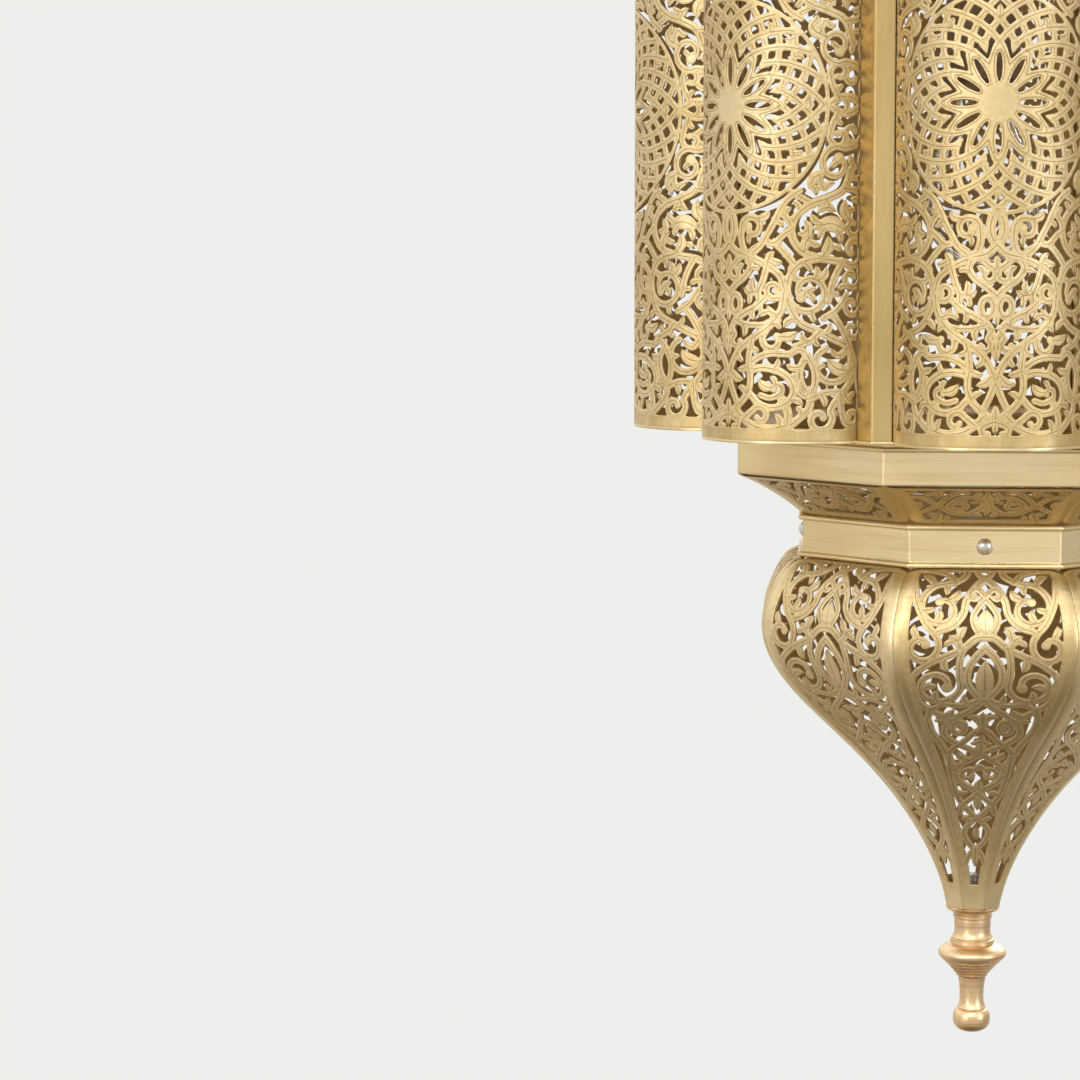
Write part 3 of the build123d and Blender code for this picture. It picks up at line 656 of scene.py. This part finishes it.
def new_piece(name, mesh, node, material, turn=Matrix()):
    """An object that stands for a CAD node of the lantern."""
    piece = bpy.data.objects.new(name, mesh)
    bpy.context.scene.collection.objects.link(piece)
    if not mesh.materials:
        mesh.materials.append(material)
    piece.matrix_world = turn
    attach(piece, "lantern")
    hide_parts(node)
    return piece


def make_lobes(material):
    low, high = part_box("lobe_panel_3")
    radius = high.y / MM
    centre = high.x / MM - radius
    leg = centre - low.x / MM
    middle = (low.z + high.z) / 2 / MM
    half_height = (high.z - low.z) / 2 / MM
    half_round = math.pi / 2 * radius
    cell = CELL["lobe"]
    across = reach(half_round + leg, cell)
    p = lobe_pattern(across, reach(half_height, cell), half_round + leg, half_height, half_round)
    unfold(p, across=True, along=True)

    def place(u, v, depth):
        angle = np.clip(u, -half_round, half_round) / radius
        back = np.maximum(np.abs(u) - half_round, 0)
        x = centre + (radius - depth) * np.cos(angle) - back
        return np.stack([x, (radius - depth) * np.sin(angle), middle + v], 1)

    mesh = sheet_mesh("pierced_lobe", p, place)
    for facet in range(1, SIDES + 1):
        new_piece(f"pierced_lobe_{facet}", mesh, f"lobe_panel_{facet}", material, facet_turn(facet))


def make_gores(kind, down, material):
    """Eight pierced gores of the cage or the dome."""
    gore = Gore(f"{kind}_panel_3", down)
    scale = gore.length / CAGE_LENGTH
    cell = CELL[kind]
    across = reach(gore.half_width(gore.along).max(), cell)
    along = reach(gore.length, cell)
    narrow = math.sqrt(scale)
    p = gore_pattern(across / narrow, along / scale, lambda v: gore.half_width(v * scale) / narrow)
    p.u, p.v = np.meshgrid(across, along)
    p.outline(np.maximum(p.u - gore.half_width(p.v), p.v - gore.length))
    unfold(p, across=True)
    mesh = sheet_mesh(f"pierced_{kind}", p, gore.place)
    for facet in range(1, SIDES + 1):
        new_piece(f"pierced_{kind}_{facet}", mesh, f"{kind}_panel_{facet}", material, facet_turn(facet))


def make_slope(node, down, material):
    """One pierced slope ring, all eight sides in one piece."""
    side = Gore(node, down)
    cell = CELL["slope"]
    across = reach(side.half_width(0.0), cell)
    p = slope_pattern(across, reach(side.length, cell), side.half_width, side.length)
    p.outline(np.maximum(p.u - side.half_width(p.v), p.v - side.length))
    unfold(p, across=True)
    mesh = sheet_mesh("pierced_" + node, p, side.place)
    ring = bpy.data.meshes.new("pierced_" + node)
    build = bmesh.new()
    for facet in range(1, SIDES + 1):
        turned = mesh.copy()
        turned.transform(facet_turn(facet))
        build.from_mesh(turned)
        bpy.data.meshes.remove(turned)
    build.to_mesh(ring)
    build.free()
    new_piece("pierced_" + node, ring, node, material)


# ---------------------------------------------------------------- materials

class Finish:
    """A node material, with short calls for its nodes."""

    def __init__(self, name):
        self.material = bpy.data.materials.new(name)
        self.material.use_nodes = True
        self.tree = self.material.node_tree
        self.shader = self.tree.nodes["Principled BSDF"]
        self.place = self.node("ShaderNodeTexCoord").outputs["Object"]
        self.chance = self.node("ShaderNodeObjectInfo").outputs["Random"]

    def node(self, kind, inputs=(), **settings):
        node = self.tree.nodes.new(kind)
        for key, value in settings.items():
            setattr(node, key, value)
        for key, value in dict(inputs).items():
            self.put(node.inputs[key], value)
        return node

    def put(self, socket, value):
        if isinstance(value, bpy.types.NodeSocket):
            self.tree.links.new(value, socket)
        else:
            socket.default_value = value

    def math(self, operation, a, b=0.0):
        return self.node("ShaderNodeMath", {0: a, 1: b}, operation=operation).outputs[0]

    def ramp(self, value, low, high, at_low=0.0, at_high=1.0):
        """Value from low to high becomes at_low to at_high, smoothly and no further."""
        inputs = {"Value": value, "From Min": low, "From Max": high, "To Min": at_low, "To Max": at_high}
        return self.node("ShaderNodeMapRange", inputs, interpolation_type="SMOOTHSTEP").outputs["Result"]

    def noise(self, scale, stretch=(1, 1, 1), detail=3.0, roughness=0.5):
        """Noise, scale cycles a metre, stretched along the axes, different on each object."""
        place = self.node("ShaderNodeMapping", {"Vector": self.place, "Scale": stretch}).outputs[0]
        seed = self.math("MULTIPLY", self.chance, 40.0)
        inputs = {"Vector": place, "W": seed, "Scale": scale, "Detail": detail, "Roughness": roughness}
        return self.node("ShaderNodeTexNoise", inputs, noise_dimensions="4D").outputs["Fac"]

    def blend(self, amount, a, b):
        """Colour a turning into b by an amount."""
        mix = self.node("ShaderNodeMix", {"Factor": amount}, data_type="RGBA")
        self.put(mix.inputs[6], a if isinstance(a, bpy.types.NodeSocket) else (*a, 1))
        self.put(mix.inputs[7], b if isinstance(b, bpy.types.NodeSocket) else (*b, 1))
        return mix.outputs[2]

    def bump(self, height, distance, strength=1.0, normal=None):
        inputs = {"Height": height, "Distance": distance, "Strength": strength}
        if normal is not None:
            inputs["Normal"] = normal
        return self.node("ShaderNodeBump", inputs).outputs["Normal"]

    def done(self, colour, roughness, normal=None, **fixed):
        self.put(self.shader.inputs["Base Color"], colour)
        self.put(self.shader.inputs["Roughness"], roughness)
        if normal is not None:
            self.put(self.shader.inputs["Normal"], normal)
        for key, value in fixed.items():
            self.shader.inputs[key.replace("_", " ")].default_value = value
        return self.material


PALE_GOLD = (0.72, 0.58, 0.34)
GOLD = (0.62, 0.475, 0.24)
BROWN_GOLD = (0.46, 0.32, 0.13)
ROSE_GOLD = (0.72, 0.51, 0.31)
GROOVE = (0.22, 0.15, 0.06)
DULL_INSIDE = (0.58, 0.43, 0.21)
RIM_SHADE_HEIGHT = 0.007  # height of the painted shade, a browner band, at each end of a lobe, m


def pierced_brass(middle, half_height):
    """Sawn and engraved sheet: pale worn faces, dark engraved lines, patches of patina, a dull back.

    The lobes' rims, half_height above and below middle, get painted shade: a browner band in uneven patches."""
    f = Finish("pierced_brass")
    own = f.node("ShaderNodeAttribute", attribute_name="own").outputs["Fac"]
    mid = f.node("ShaderNodeAttribute", attribute_name="mid").outputs["Fac"]
    cloud = f.noise(16, detail=4)
    patch = f.noise(70, detail=5, roughness=0.6)
    grain = f.noise(1500, detail=2)
    colour = f.blend(f.ramp(cloud, 0.35, 0.68), PALE_GOLD, GOLD)
    colour = f.blend(f.math("MULTIPLY", f.ramp(patch, 0.52, 0.74), 0.5), colour, BROWN_GOLD)
    mottle = f.noise(480, detail=4, roughness=0.6)
    worked = f.ramp(own, 2.4, 3.4, 1.0, 0.35)  # less on the plain rims and ribs
    colour = f.blend(f.math("MULTIPLY", f.ramp(mottle, 0.42, 0.7, 0.0, 0.5), worked), colour, BROWN_GOLD)
    height = f.node("ShaderNodeSeparateXYZ", {"Vector": f.place}).outputs["Z"]
    from_middle = f.math("ABSOLUTE", f.math("SUBTRACT", height, middle))
    # painted shade: a browner band at each end of a lobe, broken into uneven patches by noise
    rim = f.math("MULTIPLY", f.ramp(from_middle, half_height - RIM_SHADE_HEIGHT, half_height - 0.7 * RIM_SHADE_HEIGHT),
                 f.ramp(from_middle, half_height, half_height + 0.001, 1.0, 0.0))
    rim_shade_breakup = f.noise(110, (1, 1, 0.3), 4, 0.6)
    colour = f.blend(f.math("MULTIPLY", rim, f.ramp(rim_shade_breakup, 0.3, 0.65, 0.2, 0.75)), colour, BROWN_GOLD)
    rose = f.noise(45, (1, 1, 0.6), 3)
    colour = f.blend(f.math("MULTIPLY", f.ramp(rose, 0.58, 0.75), 0.45), colour, ROSE_GOLD)
    line = f.math("MULTIPLY", f.ramp(own, 0.5, 0.7), f.ramp(own, 0.75, 1.0, 0.4, 0.0))
    vein = f.ramp(f.math("ABSOLUTE", mid), 0.12, 0.42, 1.0, 0.0)
    engraved = f.math("MAXIMUM", line, vein)
    worn = f.math("MULTIPLY", engraved, f.ramp(patch, 0.2, 0.7, 0.5, 0.8))
    colour = f.blend(worn, colour, GROOVE)
    back = f.ramp(own, -0.6, -0.4, 1.0, 0.0)
    colour = f.blend(back, colour, DULL_INSIDE)
    rough = f.ramp(f.math("ADD", patch, f.math("MULTIPLY", grain, 0.4)), 0.4, 1.0, 0.24, 0.38)
    rough = f.math("ADD", rough, f.math("MULTIPLY", f.math("MAXIMUM", worked, rim), 0.18))
    rough = f.math("ADD", rough, f.math("MULTIPLY", back, 0.25))
    raised = f.math("SUBTRACT", f.ramp(own, 0.0, 0.3), f.math("MULTIPLY", engraved, 0.6))
    normal = f.bump(raised, 0.00016, 0.7)
    normal = f.bump(mottle, 0.0001, 0.4, normal)
    normal = f.bump(grain, 0.00006, 0.5, normal)
    return f.done(colour, rough, normal, Metallic=1.0)


def brushed_brass(name, brush, pale, dark, roughness=(0.24, 0.4)):
    """Plain sheet brushed one way, with clouds of darker patina and softened edges."""
    f = Finish(name)
    cloud = f.noise(11, detail=4)
    streak = f.noise(260, brush, 4, 0.65)
    fine = f.noise(1100, brush, 2)
    spot = f.noise(160, detail=4, roughness=0.65)
    colour = f.blend(f.ramp(cloud, 0.34, 0.7), pale, dark)
    colour = f.blend(f.math("MULTIPLY", f.ramp(streak, 0.45, 0.75), 0.45), colour, BROWN_GOLD)
    colour = f.blend(f.math("MULTIPLY", f.ramp(spot, 0.62, 0.78), 0.4), colour, ROSE_GOLD)
    rough = f.ramp(f.math("ADD", streak, f.math("MULTIPLY", fine, 0.5)), 0.5, 1.1, *roughness)
    edges = f.node("ShaderNodeBevel", {"Radius": 0.0012}, samples=4).outputs["Normal"]
    normal = f.bump(fine, 0.00005, 0.6, edges)
    normal = f.bump(streak, 0.0001, 0.4, normal)
    return f.done(colour, rough, normal, Metallic=1.0)


def turned_brass():
    """Lathe-turned brass with fine rings and a rosier, darker patina in its grooves."""
    f = Finish("turned_brass")
    rings = f.noise(900, (0.02, 0.02, 1), 3)
    patch = f.noise(60, detail=5, roughness=0.6)
    colour = f.blend(f.ramp(patch, 0.35, 0.7), (0.76, 0.56, 0.34), (0.60, 0.40, 0.21))
    colour = f.blend(f.math("MULTIPLY", f.ramp(rings, 0.5, 0.72), 0.55), colour, (0.30, 0.17, 0.07))
    rough = f.ramp(rings, 0.3, 0.8, 0.3, 0.46)
    edges = f.node("ShaderNodeBevel", {"Radius": 0.0004}, samples=4).outputs["Normal"]
    return f.done(colour, rough, f.bump(rings, 0.00012, 0.6, edges), Metallic=1.0)


def plated(name, colour_a, colour_b, roughness=(0.2, 0.4)):
    """Plated steel with faint clouding."""
    f = Finish(name)
    cloud = f.noise(350, detail=4)
    colour = f.blend(f.ramp(cloud, 0.35, 0.7), colour_a, colour_b)
    return f.done(colour, f.ramp(cloud, 0.3, 0.7, *roughness), f.bump(cloud, 0.00004, 0.5), Metallic=1.0)


def moulded_brown():
    f = Finish("holder_phenolic")
    cloud = f.noise(500, detail=3)
    colour = f.blend(f.ramp(cloud, 0.3, 0.7), (0.20, 0.13, 0.07), (0.30, 0.21, 0.12))
    return f.done(colour, f.ramp(cloud, 0.3, 0.7, 0.4, 0.55), f.bump(cloud, 0.00005, 0.5))


def clear_glass():
    f = Finish("clear_glass")
    cloud = f.noise(40, detail=2)
    colour = f.blend(f.ramp(cloud, 0.3, 0.7), (0.95, 0.95, 0.93), (0.98, 0.98, 0.97))
    return f.done(colour, f.ramp(cloud, 0.3, 0.7, 0.02, 0.05), Transmission_Weight=1.0, IOR=1.2)


def make_materials():
    low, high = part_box("lobe_panel_3")
    across_z = (0.05, 0.05, 1)
    along_z = (1, 1, 0.05)
    return {
        "pierced_brass": pierced_brass((low.z + high.z) / 2, (high.z - low.z) / 2),
        "plain_brass": brushed_brass("plain_brass", across_z, (0.81, 0.66, 0.39), (0.66, 0.50, 0.26)),
        "bar_brass": brushed_brass("bar_brass", along_z, (0.58, 0.43, 0.19), (0.48, 0.34, 0.14)),
        "inner_brass": brushed_brass("inner_brass", across_z, (0.62, 0.47, 0.25), (0.42, 0.30, 0.14),
                                     (0.4, 0.6)),
        "turned_brass": turned_brass(),
        "screw_steel": plated("screw_steel", (0.66, 0.64, 0.60), (0.50, 0.48, 0.44)),
        "zinc_steel": plated("zinc_steel", (0.52, 0.50, 0.45), (0.40, 0.38, 0.33), (0.35, 0.5)),
        "holder_phenolic": moulded_brown(),
        "lamp_cap_metal": plated("lamp_cap_metal", (0.72, 0.71, 0.69), (0.58, 0.57, 0.55)),
        "clear_glass": clear_glass(),
    }


# ---------------------------------------------------------------- stage, lights and camera

BACKDROP = (0.855, 0.862, 0.838)
STAGE_R = 9.0
FLOOR_BELOW = 0.6  # from the finial's end down to the floor


def backdrop_material():
    """Even pale tone that neither shades nor lights."""
    material = bpy.data.materials.new("backdrop")
    material.use_nodes = True
    tree = material.node_tree
    tree.nodes.remove(tree.nodes["Principled BSDF"])
    glow = tree.nodes.new("ShaderNodeEmission")
    glow.inputs["Color"].default_value = (*BACKDROP, 1)
    tree.links.new(glow.outputs[0], tree.nodes["Material Output"].inputs["Surface"])
    return material


def make_stage(middle, low):
    """A pale floor and a pale dome round everything; the world lights through them."""
    material = backdrop_material()
    dome_mesh = bpy.data.meshes.new("stage_dome")
    build = bmesh.new()
    bmesh.ops.create_uvsphere(build, u_segments=48, v_segments=24, radius=STAGE_R)
    build.to_mesh(dome_mesh)
    build.free()
    dome = bpy.data.objects.new("stage_dome", dome_mesh)
    dome.location = middle
    floor_mesh = bpy.data.meshes.new("stage_floor")
    build = bmesh.new()
    bmesh.ops.create_circle(build, cap_ends=True, segments=64, radius=STAGE_R)
    build.to_mesh(floor_mesh)
    build.free()
    floor = bpy.data.objects.new("stage_floor", floor_mesh)
    floor.location = (middle.x, middle.y, low - FLOOR_BELOW)
    for thing in (dome, floor):
        bpy.context.scene.collection.objects.link(thing)
        thing.data.materials.append(material)
        thing.visible_diffuse = False
        thing.visible_glossy = False
        thing.visible_shadow = False


SKY = [  # from straight down, 0, over level, 0.5, to straight up, 1
    (0.0, (0.13, 0.11, 0.08)),
    (0.06, (0.28, 0.25, 0.20)),
    (0.14, (0.50, 0.47, 0.42)),
    (0.36, (0.72, 0.70, 0.67)),
    (0.52, (0.71, 0.70, 0.68)),
    (0.66, (1.06, 1.05, 1.03)),
    (1.0, (1.2, 1.2, 1.2)),
]


def make_world():
    """Soft studio light from all round: bright high, dim on the right, brown and dim from straight below."""
    world = bpy.data.worlds.new("studio")
    bpy.context.scene.world = world
    world.use_nodes = True
    tree = world.node_tree
    where = tree.nodes.new("ShaderNodeTexCoord").outputs["Generated"]
    split = tree.nodes.new("ShaderNodeSeparateXYZ")
    tree.links.new(where, split.inputs[0])
    height = tree.nodes.new("ShaderNodeMapRange")
    height.inputs["From Min"].default_value = -1
    tree.links.new(split.outputs["Z"], height.inputs["Value"])
    ramp = tree.nodes.new("ShaderNodeValToRGB")
    tree.links.new(height.outputs["Result"], ramp.inputs["Fac"])
    while len(ramp.color_ramp.elements) < len(SKY):
        ramp.color_ramp.elements.new(0.5)
    for element, (place, colour) in zip(ramp.color_ramp.elements, SKY):
        element.position = place
        element.color = (*colour, 1)
    dim = tree.nodes.new("ShaderNodeMapRange")
    dim.inputs["From Min"].default_value = 0.3
    dim.inputs["From Max"].default_value = 1.0
    dim.inputs["To Min"].default_value = 1.25
    dim.inputs["To Max"].default_value = 0.8
    tree.links.new(split.outputs["X"], dim.inputs["Value"])
    background = tree.nodes["Background"]
    tree.links.new(ramp.outputs["Color"], background.inputs["Color"])
    tree.links.new(dim.outputs["Result"], background.inputs["Strength"])


LIGHTS = [  # name, place from the lantern's middle, size, watts, colour
    ("key", (-1.9, -2.3, 0.3), (0.9, 2.2), 18, (1.0, 0.98, 0.95)),
    ("front", (-0.2, -2.7, 1.5), (1.8, 1.0), 26, (1.0, 0.98, 0.95)),
    ("fill", (2.4, -1.6, 0.3), (1.2, 2.0), 22, (0.95, 0.97, 1.0)),
    ("back", (1.0, 2.6, 1.2), (1.6, 1.6), 40, (1.0, 0.99, 0.97)),
]


def make_lights(middle):
    """Soft rectangles of light, all aimed at the lantern's middle."""
    for name, offset, size, watts, colour in LIGHTS:
        light = bpy.data.lights.new(name, "AREA")
        light.shape = "RECTANGLE"
        light.size, light.size_y = size
        light.energy = watts
        light.color = colour
        lamp = bpy.data.objects.new(name, light)
        lamp.location = middle + Vector(offset)
        lamp.rotation_euler = (-Vector(offset)).to_track_quat("-Z", "Y").to_euler()
        lamp.visible_camera = False
        bpy.context.scene.collection.objects.link(lamp)


CAMERA_AWAY = 1.875  # from the lantern's axis
CAMERA_TURN = math.radians(-2.5)  # round the axis, from straight in front
CAMERA_BELOW = 0.041  # under the middle of the lobed body
LOOK_LEFT = math.radians(7.0)  # of the lantern's axis
LOOK_DOWN = math.radians(5.58)
LENS = 119.2
SENSOR = 36.0


def make_camera(body_middle):
    """Level camera aimed to the lantern's left and a little down."""
    data = bpy.data.cameras.new("camera")
    data.lens = LENS
    data.sensor_width = SENSOR
    data.clip_end = 50
    camera = bpy.data.objects.new("camera", data)
    bpy.context.scene.collection.objects.link(camera)
    back = Vector((math.sin(CAMERA_TURN), -math.cos(CAMERA_TURN), 0))
    camera.location = Vector((0, 0, body_middle.z - CAMERA_BELOW)) + back * CAMERA_AWAY
    camera.rotation_euler = (math.pi / 2 - LOOK_DOWN, 0, CAMERA_TURN + LOOK_LEFT)
    bpy.context.scene.camera = camera


# ---------------------------------------------------------------- the scene

finish = make_materials()
special = {"corner_bars": "bar_brass"}
for part in frame["record"]["subparts"]:
    slots = frame["nodes"][part["node"]].data.materials
    slots.clear()
    slots.append(finish[special.get(part["node"], part["material_slot"])])
make_lobes(finish["pierced_brass"])
make_gores("cage", -1, finish["pierced_brass"])
make_gores("dome", 1, finish["pierced_brass"])
make_slope("lower_slope_ring", -1, finish["pierced_brass"])
make_slope("upper_slope_ring", 1, finish["pierced_brass"])
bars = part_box("corner_bars")
middle = (cad_box[0] + cad_box[1]) / 2
make_stage(middle, cad_box[0].z)
make_world()
make_lights(middle)
make_camera((bars[0] + bars[1]) / 2)
bpy.context.scene.view_settings.view_transform = "Standard"
